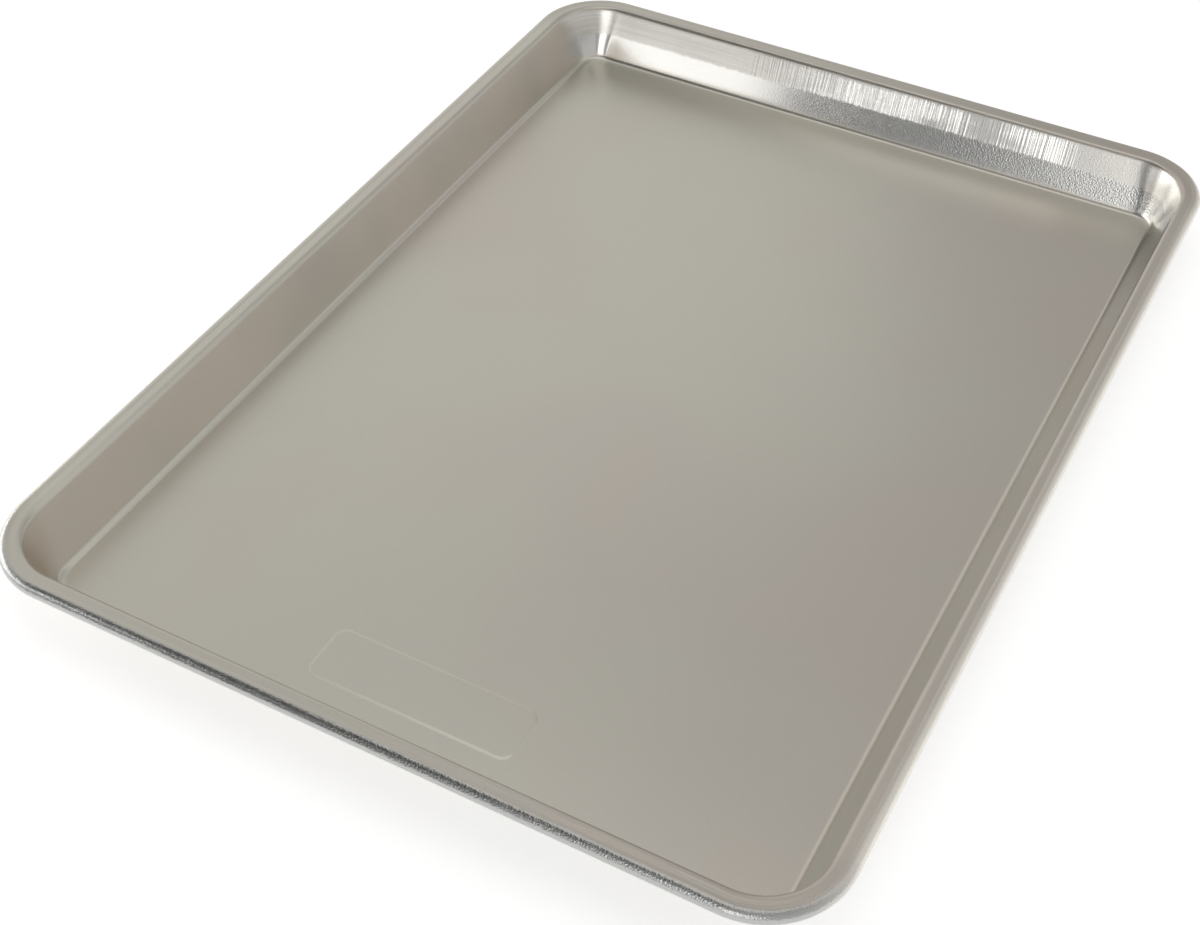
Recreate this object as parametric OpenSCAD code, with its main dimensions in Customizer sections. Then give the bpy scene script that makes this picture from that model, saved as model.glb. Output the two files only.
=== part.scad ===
// Jelly roll pan: one pressed aluminium sheet whose rim is rolled over a steel wire.
// Length runs along Y, width along X. The pan rests on Z = 0, centred on the origin.

/* [Pan] */
// Length over the rim
pan_l = 413; // [370:1:460]
// Width over the rim
pan_w = 302; // [265:1:340]
// Height from the table to the top of the rim
pan_h = 23; // [20:0.5:30]
// Corner radius over the rim
corner_r = 30; // [28:0.5:40]
// Thickness of the sheet
sheet_t = 1; // [0.8:0.1:1.2]

/* [Walls] */
// Lean of the walls from upright, in degrees
wall_lean = 24; // [15:1:28]
// Inside radius where the walls meet the floor
floor_bend_r = 2.5; // [1.5:0.5:4]
// Outside radius where the walls turn over into the shelf
shelf_bend_r = 2.5; // [1.5:0.1:3]

/* [Rim] */
// Distance from the outer edge to where the shelf starts to turn down
shelf_inset = 6; // [5.8:0.1:7]
// Drop from the top of the rolled bead to the shelf
bead_rise = 0.2; // [0.1:0.05:0.4]
// Angle below level at which the rolled edge stops, on the bead's inner side
curl_stop = 22; // [10:1:60]
// Diameter of the steel wire in the bead
wire_d = 3.2; // [2.8:0.1:3.4]
// Gap between the wire and the sheet rolled over it
wire_slack = 0.04; // [0.03:0.01:0.08]
// Gap between the wire's two butted ends
wire_butt = 1; // [0.5:0.1:3]

/* [Pressed panel] */
// Width of the panel pressed up in the floor
panel_w = 75; // [40:1:120]
// Depth of the panel, along the pan
panel_l = 21; // [15:1:40]
// Corner radius of the panel
panel_r = 4; // [3:0.5:7]
// Distance from the pan's front edge to the panel's middle
panel_inset = 39; // [38:1:80]
// How far the panel is pressed up
panel_rise = 0.2; // [0.1:0.05:0.5]

/* [Hidden] */
$fn = 96;

wire_r = wire_d / 2;
hollow_r = wire_r + wire_slack;
bead_r = hollow_r + sheet_t;
bead_z = pan_h - bead_r;
shelf_z = pan_h - bead_rise;

shelf_bend_z = shelf_z - shelf_bend_r;
floor_bend_z = sheet_t + floor_bend_r;
// The wall is tangent to both of its bends, which fixes how far in the floor starts
floor_inset = shelf_inset
    + (shelf_bend_r + floor_bend_r + (shelf_bend_z - floor_bend_z) * sin(wall_lean)) / cos(wall_lean);

// The same points seen from a corner's centre, so that +X is outwards
bead_x = corner_r - bead_r;
shelf_bend_x = corner_r - shelf_inset;
floor_bend_x = corner_r - floor_inset;

straight_l = pan_l - 2 * corner_r;
straight_w = pan_w - 2 * corner_r;

// Unit vector at angle a
function dir(a) = [cos(a), sin(a)];

// Part of a ring between angles a and b
module bend(r_in, r_out, a, b) {
    intersection() {
        difference() {
            circle(r_out);
            circle(r_in);
        }
        polygon([[0, 0], 2 * r_out * dir(a), 2 * r_out * dir((a + b) / 2), 2 * r_out * dir(b)]);
    }
}

// Ring of the rolled bead, open below the shelf on its inner side
module bead() {
    shelf_under = shelf_z - sheet_t - bead_z;
    mouth = 2 * bead_r;
    difference() {
        circle(bead_r);
        circle(hollow_r);
        polygon([
            [0, 0],
            mouth * dir(180 + curl_stop),
            [-mouth, shelf_under],
            [-sqrt(hollow_r * hollow_r - shelf_under * shelf_under), shelf_under]
        ]);
    }
}

// Shelf from the bead to the top of the wall
module shelf() {
    difference() {
        translate([shelf_bend_x, shelf_z - sheet_t]) square([shelf_inset - bead_r, sheet_t]);
        translate([bead_x, bead_z]) circle(hollow_r);
    }
}

// Section of the sheet from a corner's centre, as radius against height
module sheet_section() {
    shelf_bend = [shelf_bend_x, shelf_bend_z];
    floor_bend = [floor_bend_x, floor_bend_z];
    square([floor_bend_x, sheet_t]);
    translate(floor_bend) bend(floor_bend_r, floor_bend_r + sheet_t, -90, -wall_lean);
    polygon([
        floor_bend + floor_bend_r * dir(-wall_lean),
        floor_bend + (floor_bend_r + sheet_t) * dir(-wall_lean),
        shelf_bend - (shelf_bend_r - sheet_t) * dir(-wall_lean),
        shelf_bend - shelf_bend_r * dir(-wall_lean)
    ]);
    translate(shelf_bend) bend(shelf_bend_r - sheet_t, shelf_bend_r, 90, 180 - wall_lean);
    shelf();
    translate([bead_x, bead_z]) bead();
}

// Runs a section, drawn as at the end of a corner, along one straight side
module side(length) {
    rotate([90, 0, 0]) linear_extrude(length, center = true) children();
}

// Repeats its child round the four corners, the first of them at +X +Y
module at_corners() {
    for (turn = [0:3]) {
        x = (turn == 0 || turn == 3 ? 1 : -1) * straight_w / 2;
        y = (turn < 2 ? 1 : -1) * straight_l / 2;
        translate([x, y, 0]) rotate(90 * turn) children();
    }
}

// Rounded plate for the panel and for its hollow underneath
module panel_plate(w, l, r, h) {
    linear_extrude(h) {
        square([w - 2 * r, l], center = true);
        square([w, l - 2 * r], center = true);
        for (x = [-1, 1], y = [-1, 1]) {
            translate([x * (w / 2 - r), y * (l / 2 - r)]) circle(r);
        }
    }
}

module pan_sheet() {
    panel_y = panel_inset - pan_l / 2;
    color([0.72, 0.71, 0.67]) difference() {
        union() {
            translate([-straight_w / 2, -straight_l / 2, 0]) cube([straight_w, straight_l, sheet_t]);
            at_corners() rotate_extrude(angle = 90) sheet_section();
            for (turn = [0, 180]) {
                rotate(turn) translate([straight_w / 2, 0, 0]) side(straight_l) sheet_section();
                rotate(turn + 90) translate([straight_l / 2, 0, 0]) side(straight_w) sheet_section();
            }
            translate([0, panel_y, sheet_t / 2])
                panel_plate(panel_w, panel_l, panel_r, sheet_t / 2 + panel_rise);
        }
        translate([0, panel_y, -1])
            panel_plate(panel_w - 2, panel_l - 2, panel_r - 1, 1 + panel_rise);
    }
}

// One length of wire bent to the rim's outline, with its ends butted halfway along one long side
module rim_wire() {
    run = (straight_l - wire_butt) / 2;
    color([0.62, 0.63, 0.64]) translate([0, 0, bead_z]) union() {
        at_corners() rotate_extrude(angle = 90) translate([bead_x, 0]) circle(wire_r);
        translate([-straight_w / 2 - bead_x, 0, 0]) side(straight_l) circle(wire_r);
        for (end = [-1, 1]) {
            translate([straight_w / 2 + bead_x, end * (run + wire_butt) / 2, 0]) side(run) circle(wire_r);
            translate([0, end * (straight_l / 2 + bead_x), 0]) rotate(90) side(straight_w) circle(wire_r);
        }
    }
}

pan_sheet();
rim_wire();
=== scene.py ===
import math

import bmesh
import bpy
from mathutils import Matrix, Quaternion, Vector


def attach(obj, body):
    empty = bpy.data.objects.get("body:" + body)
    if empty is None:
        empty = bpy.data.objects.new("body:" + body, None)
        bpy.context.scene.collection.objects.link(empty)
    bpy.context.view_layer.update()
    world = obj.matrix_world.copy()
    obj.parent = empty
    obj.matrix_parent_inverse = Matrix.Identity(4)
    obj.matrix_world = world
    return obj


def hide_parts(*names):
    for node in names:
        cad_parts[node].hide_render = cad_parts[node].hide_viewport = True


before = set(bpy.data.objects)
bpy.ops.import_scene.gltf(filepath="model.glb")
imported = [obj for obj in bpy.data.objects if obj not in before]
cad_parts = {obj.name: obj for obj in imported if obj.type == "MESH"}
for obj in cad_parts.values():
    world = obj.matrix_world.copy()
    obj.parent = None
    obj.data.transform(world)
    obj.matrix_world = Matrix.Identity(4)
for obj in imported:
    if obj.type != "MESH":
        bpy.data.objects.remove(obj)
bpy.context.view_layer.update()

# Rim wire: one length of 3.2 mm galvanised steel wire, bent to the rim's outline and butted halfway
# along one long side. The sheet is rolled over it, so a line of it shows only from underneath.
MM = 0.001


def add_node(tree, kind, inputs=None, **settings):
    """Adds a shader node, sets its own values, and fills or links its inputs by name or number."""
    made = tree.nodes.new(kind)
    for name, value in settings.items():
        setattr(made, name, value)
    for name, value in (inputs or {}).items():
        if isinstance(value, bpy.types.NodeSocket):
            tree.links.new(value, made.inputs[name])
        else:
            made.inputs[name].default_value = value
    return made


def metal_material(name, colour, roughness):
    """A metal with its own colour and gloss. Returns the material, its node tree and its shader."""
    material = bpy.data.materials.new(name)
    material.use_nodes = True
    tree = material.node_tree
    shader = tree.nodes["Principled BSDF"]
    shader.inputs["Metallic"].default_value = 1.0
    shader.inputs["Base Color"].default_value = (*colour, 1.0)
    shader.inputs["Roughness"].default_value = roughness
    return material, tree, shader


rim_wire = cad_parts["rim_wire"]
zinc_grey = (0.50, 0.51, 0.52)
zinc_roughness = 0.45
spangles_per_metre = 900.0
spangle_depth = 0.05 * MM
dull_zinc = (0.40, 0.41, 0.42, 1.0)
bright_zinc = (0.62, 0.63, 0.64, 1.0)
galvanised_wire, tree, shader = metal_material("galvanised_wire", zinc_grey, zinc_roughness)
place = add_node(tree, "ShaderNodeTexCoord").outputs["Object"]
spangles = {"Vector": place, "Scale": spangles_per_metre}
spangle = add_node(tree, "ShaderNodeTexVoronoi", spangles).outputs["Color"]
zinc = add_node(tree, "ShaderNodeMix", {"Factor": spangle, 6: dull_zinc, 7: bright_zinc}, data_type="RGBA")
tree.links.new(zinc.outputs[2], shader.inputs["Base Color"])
wire_gloss = add_node(tree, "ShaderNodeMapRange", {"Value": spangle, "To Min": 0.35, "To Max": 0.55})
tree.links.new(wire_gloss.outputs["Result"], shader.inputs["Roughness"])
spangle_relief = {"Height": spangle, "Strength": 0.3, "Distance": spangle_depth}
wire_bump = add_node(tree, "ShaderNodeBump", spangle_relief)
tree.links.new(wire_bump.outputs["Normal"], shader.inputs["Normal"])
rim_wire.data.materials.clear()
rim_wire.data.materials.append(galvanised_wire)

# Pan sheet: one 1 mm sheet of natural aluminium. A die presses the floor and the sloping walls, the
# top is turned out to a flat shelf, and the edge is rolled round the wire into a bead.
half_width = 151.0
half_length = 206.5
pan_height = 23.0
corner_radius = 30.0
sheet_thickness = 1.0
wall_lean = 24.0
floor_bend = 2.5
shelf_bend = 2.5
shelf_inset = 6.0
shelf_height = 22.8
hollow_radius = 1.64
bead_radius = hollow_radius + sheet_thickness
bead_height = pan_height - bead_radius
shelf_bend_height = shelf_height - shelf_bend
floor_bend_height = sheet_thickness + floor_bend
wall_drop = shelf_bend_height - floor_bend_height
bends_reach = shelf_bend + floor_bend + wall_drop * math.sin(math.radians(wall_lean))
floor_inset = shelf_inset + bends_reach / math.cos(math.radians(wall_lean))


def bend(centre, radius, first, last, steps):
    """Points of one bend of the sheet, as (inset, height). Angles are in degrees from level inwards."""
    points = []
    for step in range(steps + 1):
        angle = math.radians(first + (last - first) * step / steps)
        points.append((centre[0] + radius * math.cos(angle), centre[1] + radius * math.sin(angle)))
    return points


def between(start, end, steps):
    """Points inside the straight stretch from start to end, without its ends."""
    shares = [step / steps for step in range(1, steps)]
    return [tuple(a + (b - a) * share for a, b in zip(start, end)) for share in shares]


bead_centre = (bead_radius, bead_height)
shelf_bend_centre = (shelf_inset, shelf_bend_height)
floor_bend_centre = (floor_inset, floor_bend_height)

# The bead runs into the shelf through a shallow hollow, rolled by the curling die
neck_radius = 3.0
neck_rise = shelf_height + neck_radius - bead_height
neck_reach = math.sqrt((bead_radius + neck_radius) ** 2 - neck_rise ** 2)
neck_centre = (bead_radius + neck_reach, shelf_height + neck_radius)
neck_angle = math.degrees(math.atan2(neck_rise, neck_reach))

# The rolled edge stops below the shelf, on the bead's inner side, and is rounded there
curl_stop = 338.0
edge_radius = sheet_thickness / 2.0
edge_reach = hollow_radius + edge_radius
edge_angle = math.radians(curl_stop)
edge_centre = (
    bead_radius + edge_reach * math.cos(edge_angle),
    bead_height + edge_reach * math.sin(edge_angle),
)
under_angle = math.degrees(math.asin((shelf_height - sheet_thickness - bead_height) / hollow_radius))

# The section runs from the floor up the inside, over the bead and back down the outside. The floor's
# own points are close together where the pressed panel reaches them.
panel_rows = [corner_radius - 0.4 * step for step in range(10)]
floor_steps = panel_rows + [25.4, 24.0, 22.6, 21.2, 20.0]
top_floor = [(inset, sheet_thickness) for inset in floor_steps]
floor_turn = bend(floor_bend_centre, floor_bend, 270.0, 180.0 + wall_lean, 12)
shelf_turn = bend(shelf_bend_centre, shelf_bend, wall_lean, 90.0, 12)
wall_run = between(floor_turn[-1], shelf_turn[0], 16)
neck = bend(neck_centre, neck_radius, 270.0, 180.0 + neck_angle, 4)
shelf_run = between(shelf_turn[-1], neck[0], 4)
bead = bend(bead_centre, bead_radius, neck_angle, curl_stop, 40)[1:]
edge = bend(edge_centre, edge_radius, curl_stop, curl_stop + 180.0, 6)[1:-1]
hollow = bend(bead_centre, hollow_radius, curl_stop, under_angle, 20)
shelf_back = bend(shelf_bend_centre, shelf_bend - sheet_thickness, 90.0, wall_lean, 8)
floor_back = bend(floor_bend_centre, floor_bend + sheet_thickness, 180.0 + wall_lean, 270.0, 8)
wall_back = between(shelf_back[-1], floor_back[0], 8)
under_floor = [(inset, 0.0) for inset in reversed(floor_steps)]
inside = top_floor + floor_turn + wall_run + shelf_turn + shelf_run + neck
outside = hollow + shelf_back + wall_back + floor_back + under_floor
section = inside + bead + edge + outside

# The walls' feet turn the corners a little tighter than the rim does, so the corner walls stand steeper
tighter_corner = 3.0


def ramp(value, start, end):
    """0 at the start and 1 at the end, and held beyond them."""
    return min(max((value - start) / (end - start), 0.0), 1.0)


def eased(share):
    """A share from 0 to 1 that sets off and stops gently."""
    return share * share * (3.0 - 2.0 * share)


def corner_shift(inset, height):
    """How far the corner's centre moves outwards at this point of the section."""
    if height < floor_turn[-1][1]:
        return tighter_corner * ramp(inset, floor_inset, floor_turn[-1][0])
    return tighter_corner * eased(ramp(height, shelf_bend_height, floor_bend_height))


# Pressed panel: a low rounded plateau near the front end of the floor, left bare. It is pressed up
# with the rest of the sheet, so the underside has the same shape as a hollow.
panel_half_width = 37.5
panel_half_depth = 10.5
panel_corner = 4.0
panel_middle = 39.0 - half_length
panel_rise = 0.13
panel_slope = 0.9


def panel_lift(x, y):
    """Height that the panel adds to the sheet at a point of the floor."""
    across = abs(x) - (panel_half_width - panel_corner)
    along = abs(y - panel_middle) - (panel_half_depth - panel_corner)
    beyond = math.hypot(max(across, 0.0), max(along, 0.0)) + min(max(across, along), 0.0) - panel_corner
    return panel_rise * eased(ramp(beyond, panel_slope / 2.0, -panel_slope / 2.0))


def spaced(start, end, bands):
    """Positions from start to end in mm, far apart, but close together inside the bands."""
    far = 6.0
    close = 0.3
    hair = 1e-6
    positions = [start]
    while positions[-1] < end - hair:
        here = positions[-1]
        step = close if any(low - hair <= here < high for low, high in bands) else far
        nearest = min([low for low, high in bands if low > here + hair] + [end])
        positions.append(min(here + step, nearest))
    return positions


inner_x = half_width - corner_radius
inner_y = half_length - corner_radius
panel_sides = [(-38.4, -33.0), (33.0, 38.4)]
panel_ends = [(-inner_y, -172.8), (-162.6, -156.0)]
columns = spaced(-inner_x, inner_x, panel_sides)
rows = spaced(-inner_y, inner_y, panel_ends)

# Stations go round the rim anticlockwise from the left end of the front side. Each has the foot of
# its section on the inner rectangle, the way out from there, and the corner that it belongs to.
stations = []
corner_steps = 28


def add_corner(sign_x, sign_y, first_angle):
    """Stations round one corner, between the ends of its two sides."""
    for step in range(1, corner_steps):
        angle = math.radians(first_angle + 90.0 * step / corner_steps)
        out = (math.cos(angle), math.sin(angle))
        stations.append((sign_x * inner_x, sign_y * inner_y, out, (sign_x, sign_y)))


stations += [(x, -inner_y, (0.0, -1.0), None) for x in columns]
add_corner(1, -1, 270.0)
stations += [(inner_x, y, (1.0, 0.0), None) for y in rows]
add_corner(1, 1, 0.0)
stations += [(x, inner_y, (0.0, 1.0), None) for x in reversed(columns)]
add_corner(-1, 1, 90.0)
stations += [(-inner_x, y, (-1.0, 0.0), None) for y in reversed(rows)]
add_corner(-1, -1, 180.0)

sheet_mesh = bmesh.new()
along_rim = sheet_mesh.loops.layers.uv.new("rim_and_section")
wall_layer = sheet_mesh.verts.layers.float.new("wall")
bead_layer = sheet_mesh.verts.layers.float.new("bead")


def add_grid(height):
    """The flat middle of the floor, top or underside, as a grid of points."""
    grid = {}
    for column, x in enumerate(columns):
        for row, y in enumerate(rows):
            lift = panel_lift(x, y)
            grid[column, row] = sheet_mesh.verts.new(Vector((x, y, height + lift)) * MM)
    return grid


top_grid = add_grid(sheet_thickness)
under_grid = add_grid(0.0)
last_column = len(columns) - 1
last_row = len(rows) - 1


def grid_edge(grid):
    """The grid's border point under each station, in the stations' order."""
    border = [grid[column, 0] for column in range(last_column + 1)]
    border += [grid[last_column, 0]] * (corner_steps - 1)
    border += [grid[last_column, row] for row in range(last_row + 1)]
    border += [grid[last_column, last_row]] * (corner_steps - 1)
    border += [grid[column, last_row] for column in range(last_column, -1, -1)]
    border += [grid[0, last_row]] * (corner_steps - 1)
    border += [grid[0, row] for row in range(last_row, -1, -1)]
    border += [grid[0, 0]] * (corner_steps - 1)
    return border


# Each point of the section becomes a ring round the pan. The layers say how far a point is on the
# wall, clear of the floor and of the bend to the shelf, and how far on the bead's outer side.
rings = []
for inset, height in section[1:-1]:
    ring = []
    shift = corner_shift(inset, height)
    wall_share = ramp(height, 2.0, 4.0) * ramp(inset, 7.9, 8.5)
    bead_share = ramp(inset, 3.2, 1.6)
    for x, y, out, corner in stations:
        reach = corner_radius - inset
        if corner:
            x += corner[0] * shift
            y += corner[1] * shift
            reach -= shift
        x += out[0] * reach
        y += out[1] * reach
        lift = panel_lift(x, y) if inset > floor_inset else 0.0
        vertex = sheet_mesh.verts.new(Vector((x, y, height + lift)) * MM)
        vertex[wall_layer] = wall_share
        vertex[bead_layer] = bead_share
        ring.append(vertex)
    rings.append(ring)
rings.insert(0, grid_edge(top_grid))
rings.append(grid_edge(under_grid))

# The layout for grain runs along the rim one way, measured at the neck, and up the section the other
neck_ring = rings[section.index(neck[1])]
rim_lengths = [0.0]
for here, after in zip(neck_ring, neck_ring[1:] + neck_ring[:1]):
    rim_lengths.append(rim_lengths[-1] + (after.co - here.co).length)
section_lengths = [0.0]
for here, after in zip(section, section[1:]):
    section_lengths.append(section_lengths[-1] + math.dist(here, after) * MM)

for level in range(len(rings) - 1):
    for station in range(len(stations)):
        after = (station + 1) % len(stations)
        corners = [
            (rings[level][station], rim_lengths[station], section_lengths[level]),
            (rings[level][after], rim_lengths[station + 1], section_lengths[level]),
            (rings[level + 1][after], rim_lengths[station + 1], section_lengths[level + 1]),
            (rings[level + 1][station], rim_lengths[station], section_lengths[level + 1]),
        ]
        kept = [c for n, c in enumerate(corners) if c[0] is not corners[n - 1][0]]
        if len(kept) > 2:
            face = sheet_mesh.faces.new([vertex for vertex, u, v in reversed(kept)])
            for loop, (vertex, u, v) in zip(face.loops, reversed(kept)):
                loop[along_rim].uv = (u, v)

for column in range(last_column):
    for row in range(last_row):
        square = [(column, row), (column + 1, row), (column + 1, row + 1), (column, row + 1)]
        sheet_mesh.faces.new([top_grid[key] for key in square])
        sheet_mesh.faces.new([under_grid[key] for key in reversed(square)])

for face in sheet_mesh.faces:
    face.smooth = True
sheet_mesh.normal_update()
pan_mesh = bpy.data.meshes.new("pan_sheet_metal")
sheet_mesh.to_mesh(pan_mesh)
sheet_mesh.free()
pan_sheet = bpy.data.objects.new("pan_sheet_metal", pan_mesh)
bpy.context.scene.collection.objects.link(pan_sheet)


def plus(tree, first, second):
    """The sum of two values of a material, each a number or another node's output."""
    return add_node(tree, "ShaderNodeMath", {0: first, 1: second}, operation="ADD").outputs[0]


def times(tree, first, second):
    """The product of two values of a material."""
    return add_node(tree, "ShaderNodeMath", {0: first, 1: second}, operation="MULTIPLY").outputs[0]


def fade(tree, value, start, end):
    """0 at the start and 1 at the end, with a soft step between them."""
    limits = {"Value": value, "From Min": start, "From Max": end}
    return add_node(tree, "ShaderNodeMapRange", limits, interpolation_type="SMOOTHSTEP").outputs[0]


def fade_mm(tree, place, start, end):
    """The same between two places along X, Y or Z, in mm from the pan's middle or the table."""
    return fade(tree, place, start * MM, end * MM)


def blend_colours(tree, share, first, second):
    """The first colour where the share is 0 and the second where it is 1."""
    both = {"Factor": share, 6: first, 7: second}
    return add_node(tree, "ShaderNodeMix", both, data_type="RGBA").outputs[2]


def tinted(tree, colour, tint):
    """A colour dulled by a tint."""
    both = {0: colour, 1: tint}
    return add_node(tree, "ShaderNodeVectorMath", both, operation="MULTIPLY").outputs[0]


def grain(tree, place, scale, detail, stretch=(1.0, 1.0, 1.0)):
    """Cloudy grain with about this many spots to the metre, closer together along a stretched axis."""
    spread = add_node(tree, "ShaderNodeMapping", {"Vector": place, "Scale": stretch}).outputs[0]
    cloud = {"Vector": spread, "Scale": scale, "Detail": detail}
    return add_node(tree, "ShaderNodeTexNoise", cloud).outputs["Fac"]


def rim_grain(tree, along_count, up_count, detail):
    """Grain laid out along the rim and up the section, with this many spots to the metre each way."""
    return grain(tree, along, 1.0, detail, (along_count, up_count, 1.0))


def bump(tree, height, strength, depth, under=None):
    """Relief of this depth in mm, on top of another relief if there is one."""
    relief = {"Height": height, "Strength": strength, "Distance": depth * MM}
    if under:
        relief["Normal"] = under
    return add_node(tree, "ShaderNodeBump", relief).outputs["Normal"]


satin_grey = (0.64, 0.61, 0.54)
satin_roughness = 0.27
satin_aluminium, tree, shader = metal_material("satin_aluminium", satin_grey, satin_roughness)
place = add_node(tree, "ShaderNodeTexCoord").outputs["Object"]
where = add_node(tree, "ShaderNodeSeparateXYZ", {0: place}).outputs
along = add_node(tree, "ShaderNodeUVMap", uv_map="rim_and_section").outputs["UV"]
on_wall = add_node(tree, "ShaderNodeAttribute", attribute_name="wall").outputs["Fac"]
on_bead = add_node(tree, "ShaderNodeAttribute", attribute_name="bead").outputs["Fac"]
on_rim = fade_mm(tree, where["Z"], 20.5, 22.0)
at_back = fade_mm(tree, where["Y"], 165.0, 185.0)
at_front = fade_mm(tree, where["Y"], -165.0, -185.0)
at_right_end = fade_mm(tree, where["X"], 84.0, 100.0)
on_back_wall = times(tree, on_wall, at_back)
on_front_bead = times(tree, on_bead, fade_mm(tree, where["Y"], -170.0, -200.0))
on_right_bead = times(tree, on_bead, fade_mm(tree, where["X"], 140.0, 146.0))

# The floor's tone drifts from a greenish to a pinkish grey over a hand's width, pinker to the right
green_grey = (0.645, 0.622, 0.545, 1.0)
pink_grey = (0.645, 0.592, 0.525, 1.0)
pinker_right = times(tree, fade_mm(tree, where["X"], 20.0, 150.0), 0.22)
drift = plus(tree, grain(tree, place, 7.0, 2.0), pinker_right)
floor_tone = blend_colours(tree, fade(tree, drift, 0.42, 0.78), green_grey, pink_grey)

# The left wall is pinker and the right wall greener, both mottled and with darker patches
wall_pink = (0.710, 0.640, 0.565, 1.0)
wall_green = (0.605, 0.615, 0.580, 1.0)
wall_shade = (0.590, 0.555, 0.495, 1.0)
mottling = plus(tree, times(tree, rim_grain(tree, 18.0, 30.0, 2.0), 1.6), -0.8)
greener_right = plus(tree, fade_mm(tree, where["X"], -100.0, 100.0), mottling)
even_tone = blend_colours(tree, greener_right, wall_pink, wall_green)
shaded = times(tree, fade(tree, rim_grain(tree, 16.0, 12.0, 2.0), 0.40, 0.70), 0.7)
wall_tone = blend_colours(tree, shaded, even_tone, wall_shade)
sheet_tone = blend_colours(tree, on_wall, floor_tone, wall_tone)

# The back wall is polished silver. A wavering line halfway up it, left by the die's drawing edge,
# parts the lower half from the upper, which is drawn level on the left. The upper half is painted
# lighter as a painted sheen, with a painted highlight from left of its middle to near its right end,
# where the lamps glint in the scores. The lower half is darker to the right, where it is pebbled.
silver = (0.640, 0.630, 0.600, 1.0)
pebbled_silver = (0.570, 0.565, 0.545, 1.0)
painted_sheen_silver = (0.700, 0.680, 0.640, 1.0)
drawn_silver = (0.620, 0.590, 0.540, 1.0)
painted_glint_silver = (0.920, 0.900, 0.865, 1.0)
waver = times(tree, rim_grain(tree, 450.0, 4.0, 2.0), 2.0 * MM)
over_line = fade_mm(tree, plus(tree, where["Z"], waver), 12.1, 13.3)
lower_silver = blend_colours(tree, fade_mm(tree, where["X"], -20.0, 20.0), silver, pebbled_silver)
drawn = times(tree, fade(tree, rim_grain(tree, 14.0, 700.0, 3.0), 0.35, 0.65), 0.6)
left_silver = blend_colours(tree, drawn, painted_sheen_silver, drawn_silver)
# Painted highlight: the upper half is painted brightest from left of its middle to near its right end
middle_silver = blend_colours(tree, fade_mm(tree, where["X"], -60.0, 0.0), left_silver, painted_glint_silver)
upper_silver = blend_colours(tree, at_right_end, middle_silver, painted_sheen_silver)
back_tone = blend_colours(tree, over_line, lower_silver, upper_silver)
walled_tone = blend_colours(tree, on_back_wall, sheet_tone, back_tone)

# The bead's outer side is painted paler on the right, as a painted sheen, and in front it is a more
# neutral grey painted darker, as painted shade. The rim is painted darker at both ends of the pan, as
# painted shade, and all of the sheet has a fine speckle.
painted_sheen_satin = (0.850, 0.815, 0.740, 1.0)
shaded_neutral_silver = (0.525, 0.532, 0.515, 1.0)
end_shade_tint = (0.91, 0.90, 0.90)
speckle_tint = (0.94, 0.94, 0.94)
# Painted sheen on the bead's right side, and painted shade on its front
right_tone = blend_colours(tree, on_right_bead, walled_tone, painted_sheen_satin)
front_tone = blend_colours(tree, on_front_bead, right_tone, shaded_neutral_silver)
# Painted shade: the rim is painted darker at the front and back ends of the pan
held = times(tree, on_rim, plus(tree, at_back, at_front))
rim_tone = blend_colours(tree, held, front_tone, tinted(tree, front_tone, end_shade_tint))
pebbles = grain(tree, place, 1500.0, 2.0)
speckled_tone = blend_colours(tree, pebbles, rim_tone, tinted(tree, rim_tone, speckle_tint))
tree.links.new(speckled_tone, shader.inputs["Base Color"])

# The drawing edge scored the upper half of the walls, straight up and less deeply along. The marks
# are heavy on the back wall, from left of its middle to near its right end, and faint elsewhere.
streaked = plus(tree, fade_mm(tree, where["X"], -90.0, 0.0), times(tree, at_right_end, -1.0))
heavy = times(tree, times(tree, at_back, streaked), 0.60)
faint = plus(tree, times(tree, at_back, -0.08), 0.08)
score = times(tree, times(tree, on_wall, over_line), plus(tree, heavy, faint))
scored = times(tree, score, fade(tree, rim_grain(tree, 25.0, 60.0, 2.0), 0.2, 0.6))
upright_bump = bump(tree, rim_grain(tree, 1100.0, 8.0, 4.0), scored, 0.40)
level_bump = bump(tree, rim_grain(tree, 30.0, 1900.0, 3.0), times(tree, scored, 0.5), 0.12, upright_bump)

# The metal has a pebbled skin where it was stretched: on the lower half of the walls, mostly to the
# right of the back wall's middle, at its right end, and on the bead's outer side
under_line = times(tree, on_wall, plus(tree, times(tree, over_line, -1.0), 1.0))
back_pebbles = times(tree, times(tree, at_back, fade_mm(tree, where["X"], -40.0, 0.0)), 0.4)
end_pebbles = times(tree, times(tree, on_back_wall, at_right_end), 0.15)
wall_pebbles = plus(tree, times(tree, under_line, plus(tree, back_pebbles, 0.05)), end_pebbles)
wall_bump = bump(tree, pebbles, wall_pebbles, 0.18, level_bump)
bead_bump = bump(tree, pebbles, on_bead, 0.17, wall_bump)

# Fine lines left along the rim by the rolls that turned it over, and on the rest of the sheet the
# grain of the rolling mill, which runs along the pan
rolled_lines = rim_grain(tree, 60.0, 1500.0, 4.0)
rim_bump = bump(tree, rolled_lines, times(tree, on_rim, 0.8), 0.10, bead_bump)
mill_grain = grain(tree, place, 1.0, 3.0, (1400.0, 160.0, 1400.0))
tree.links.new(bump(tree, mill_grain, 0.5, 0.02, rim_bump), shader.inputs["Normal"])

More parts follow.
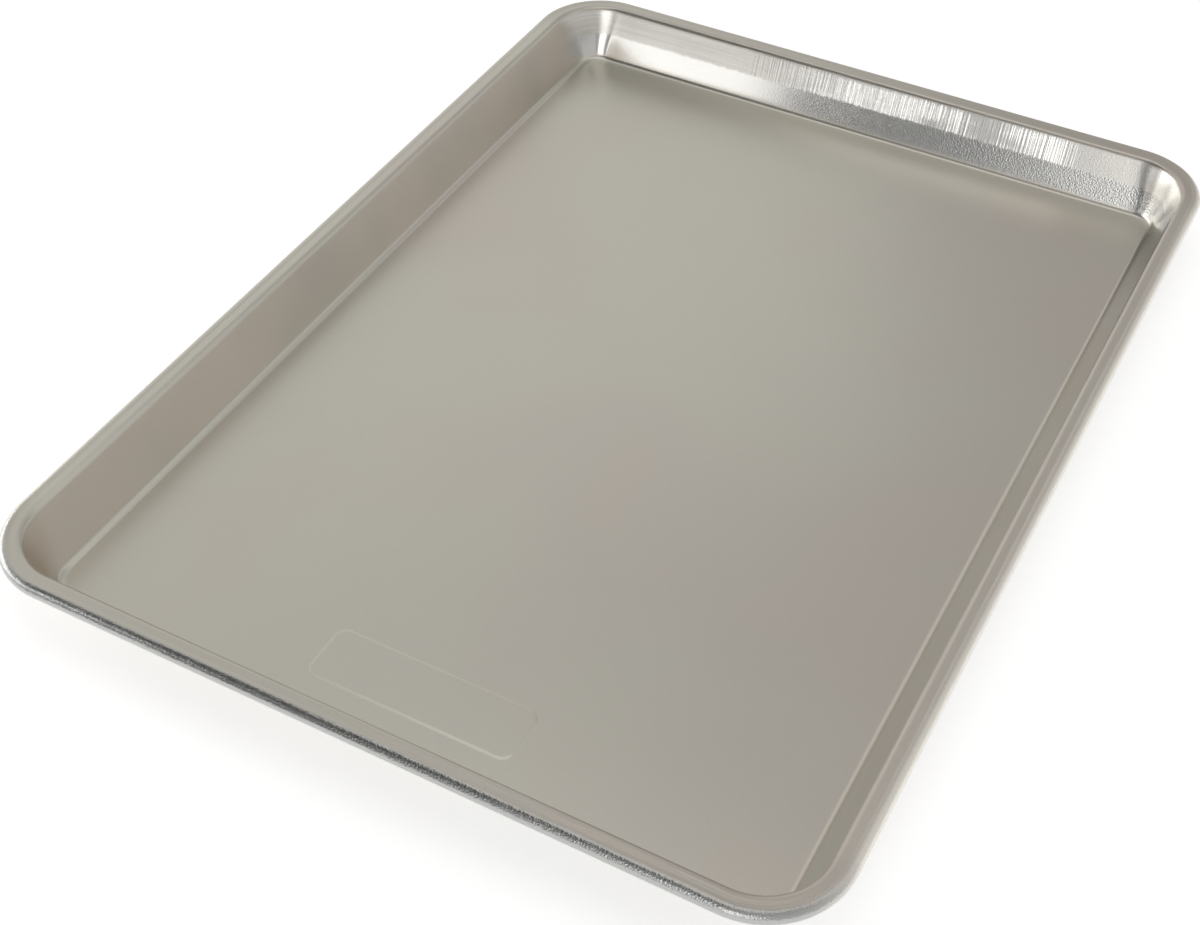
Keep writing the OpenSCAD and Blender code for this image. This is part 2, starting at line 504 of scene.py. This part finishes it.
# The satin is a little cloudy. The front of the bead is rubbed smoother, and the back wall smoother
# still, apart from the part above the line that isn't scored.
cloudy = plus(tree, times(tree, grain(tree, place, 30.0, 3.0), 0.05), 0.28)
less_polish = times(tree, over_line, plus(tree, times(tree, streaked, 0.10), -0.12))
back_polish = times(tree, on_back_wall, plus(tree, less_polish, 0.16))
polish = plus(tree, times(tree, back_polish, -1.0), times(tree, on_front_bead, -0.09))
tree.links.new(plus(tree, cloudy, polish), shader.inputs["Roughness"])
pan_sheet.data.materials.append(satin_aluminium)
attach(pan_sheet, "root")
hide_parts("pan_sheet")

# Table: a plain white sweep under the pan, which isn't part of it. It is a hair below the pan's foot
# and has no underside, so that the pan can be looked at from below.
table_reach = 20.0
table_height = -0.1 * MM
table_white = (0.80, 0.80, 0.80, 1.0)
table_roughness = 0.9
table_glow = 0.53


def add_rectangle(name, half_x, half_y):
    """A flat rectangle, facing up."""
    mesh = bpy.data.meshes.new(name)
    signs = [(-1.0, -1.0), (1.0, -1.0), (1.0, 1.0), (-1.0, 1.0)]
    points = [(half_x * across, half_y * along, 0.0) for across, along in signs]
    mesh.from_pydata(points, [], [(0, 1, 2, 3)])
    return bpy.data.objects.new(name, mesh)


def larger(tree, first, second):
    """The larger of two values of a material."""
    return add_node(tree, "ShaderNodeMath", {0: first, 1: second}, operation="MAXIMUM").outputs[0]


table = add_rectangle("table", table_reach, table_reach)
table.location.z = table_height
bpy.context.scene.collection.objects.link(table)
white_table = bpy.data.materials.new("white_table")
white_table.use_nodes = True
tree = white_table.node_tree
shader = tree.nodes["Principled BSDF"]
shader.inputs["Base Color"].default_value = table_white
shader.inputs["Roughness"].default_value = table_roughness
shader.inputs["Emission Color"].default_value = (1.0, 1.0, 1.0, 1.0)
seen = add_node(tree, "ShaderNodeLightPath").outputs
seen_or_mirrored = larger(tree, seen["Is Camera Ray"], seen["Is Glossy Ray"])
seen_at_all = larger(tree, seen_or_mirrored, seen["Is Transmission Ray"])
tree.links.new(times(tree, seen_at_all, table_glow), shader.inputs["Emission Strength"])
from_below = add_node(tree, "ShaderNodeNewGeometry").outputs["Backfacing"]
open_air = add_node(tree, "ShaderNodeBsdfTransparent").outputs[0]
sides = {0: from_below, 1: shader.outputs[0], 2: open_air}
one_sided = add_node(tree, "ShaderNodeMixShader", sides).outputs[0]
tree.links.new(one_sided, tree.nodes["Material Output"].inputs["Surface"])
table.data.materials.append(white_table)

# Light: a plain pale room with a broad softbox at the left, a reflector low in front, dimmer panels
# all round, and a small lamp close to the pan's front left. None of it is part of the pan, and from
# here on sizes and places are in metres.
room_brightness = 0.50
lamp_distance = 1.3
world = bpy.data.worlds.new("pale_room")
bpy.context.scene.world = world
world.use_nodes = True
room_air = world.node_tree.nodes["Background"]
room_air.inputs["Color"].default_value = (1.0, 1.0, 1.0, 1.0)
room_air.inputs["Strength"].default_value = room_brightness


def face_point(thing, location, point):
    """Stands a lamp or cloth at a place, facing a point. The camera doesn't see it."""
    thing.location = location
    thing.rotation_mode = "QUATERNION"
    thing.rotation_quaternion = (location - point).to_track_quat("Z", "Y")
    thing.visible_camera = False
    bpy.context.scene.collection.objects.link(thing)


def off_pan(azimuth, elevation, distance):
    """The place this far from the pan's middle. The azimuth runs from the front to the left."""
    turn = math.radians(azimuth)
    rise = math.radians(elevation)
    level = math.cos(rise) * distance
    return Vector((-math.sin(turn) * level, -math.cos(turn) * level, math.sin(rise) * distance))


def area_lamp(name, width, height, brightness):
    """A flat rectangular lamp, as bright as this against a white of 1."""
    lamp = bpy.data.lights.new(name, "AREA")
    lamp.shape = "RECTANGLE"
    lamp.size = width
    lamp.size_y = height
    lamp.energy = math.pi * width * height * brightness
    return bpy.data.objects.new(name, lamp)


def add_softbox(name, azimuth, elevation, width, height, brightness):
    """A broad lamp that faces the pan's middle."""
    lamp = area_lamp(name, width, height, brightness)
    face_point(lamp, off_pan(azimuth, elevation, lamp_distance), Vector((0.0, 0.0, 0.0)))


add_softbox("left_softbox", 82.0, 10.0, 1.05, 0.60, 2.5)
add_softbox("left_top_softbox", 84.0, 53.0, 0.75, 0.80, 0.22)
add_softbox("front_reflector", -11.0, 20.0, 0.60, 0.50, 1.75)
add_softbox("right_wall", -78.0, 24.0, 2.2, 1.20, 0.18)
add_softbox("back_left_wall", 133.0, 26.0, 1.4, 1.15, 0.24)
add_softbox("back_right_wall", -146.0, 14.0, 1.3, 0.60, 0.18)
add_softbox("ceiling", 100.0, 84.0, 0.9, 0.9, 0.45)
add_softbox("right_top_softbox", -120.0, 55.0, 0.8, 0.7, 0.25)

left_spot = area_lamp("left_spot", 0.16, 0.11, 1.6)
left_spot_place = Vector((-0.306, -0.359, 0.135))
left_spot_target = Vector((-0.08, 0.195, 0.01))
face_point(left_spot, left_spot_place, left_spot_target)

# Cloths: three dark grey cloths on frames, at the front left. The back wall and the outer side of the
# front bead mirror them, and would look too pale without them. They aren't part of the pan.
cloth_distance = 1.2
cloth_grey = (0.16, 0.16, 0.16, 1.0)
grey_cloth = bpy.data.materials.new("grey_cloth")
grey_cloth.use_nodes = True
shader = grey_cloth.node_tree.nodes["Principled BSDF"]
shader.inputs["Base Color"].default_value = cloth_grey
shader.inputs["Roughness"].default_value = 1.0


def add_cloth(name, azimuth, elevation, width, height):
    """A cloth on a frame that faces the pan's middle."""
    cloth = add_rectangle(name, width / 2.0, height / 2.0)
    cloth.data.materials.append(grey_cloth)
    face_point(cloth, off_pan(azimuth, elevation, cloth_distance), Vector((0.0, 0.0, 0.0)))


add_cloth("cloth_above_camera", 48.0, 53.0, 0.95, 0.78)
add_cloth("cloth_left_of_camera", 41.0, 28.0, 0.70, 0.42)
add_cloth("cloth_under_camera", 30.0, 8.0, 0.70, 0.34)

# Camera: above the pan's front right, at the photograph's angle. Its focal length is in pixels of a
# picture 1200 pixels wide, and it leans over by half a degree.
picture_width = 1200.0
focal_pixels = 1835.83
camera_place = Vector((0.22103, -0.46546, 0.45937))
looked_at = Vector((0.010494, -0.06815, 0.023))
slight_roll = Quaternion((0.0, 0.0, 1.0), math.radians(0.551))
camera_data = bpy.data.cameras.new("camera")
camera_data.sensor_width = 36.0
camera_data.lens = camera_data.sensor_width * focal_pixels / picture_width
camera = bpy.data.objects.new("camera", camera_data)
bpy.context.scene.collection.objects.link(camera)
camera.location = camera_place
camera.rotation_mode = "QUATERNION"
camera.rotation_quaternion = (looked_at - camera_place).to_track_quat("-Z", "Y") @ slight_roll
bpy.context.scene.camera = camera
bpy.context.scene.view_settings.view_transform = "Standard"
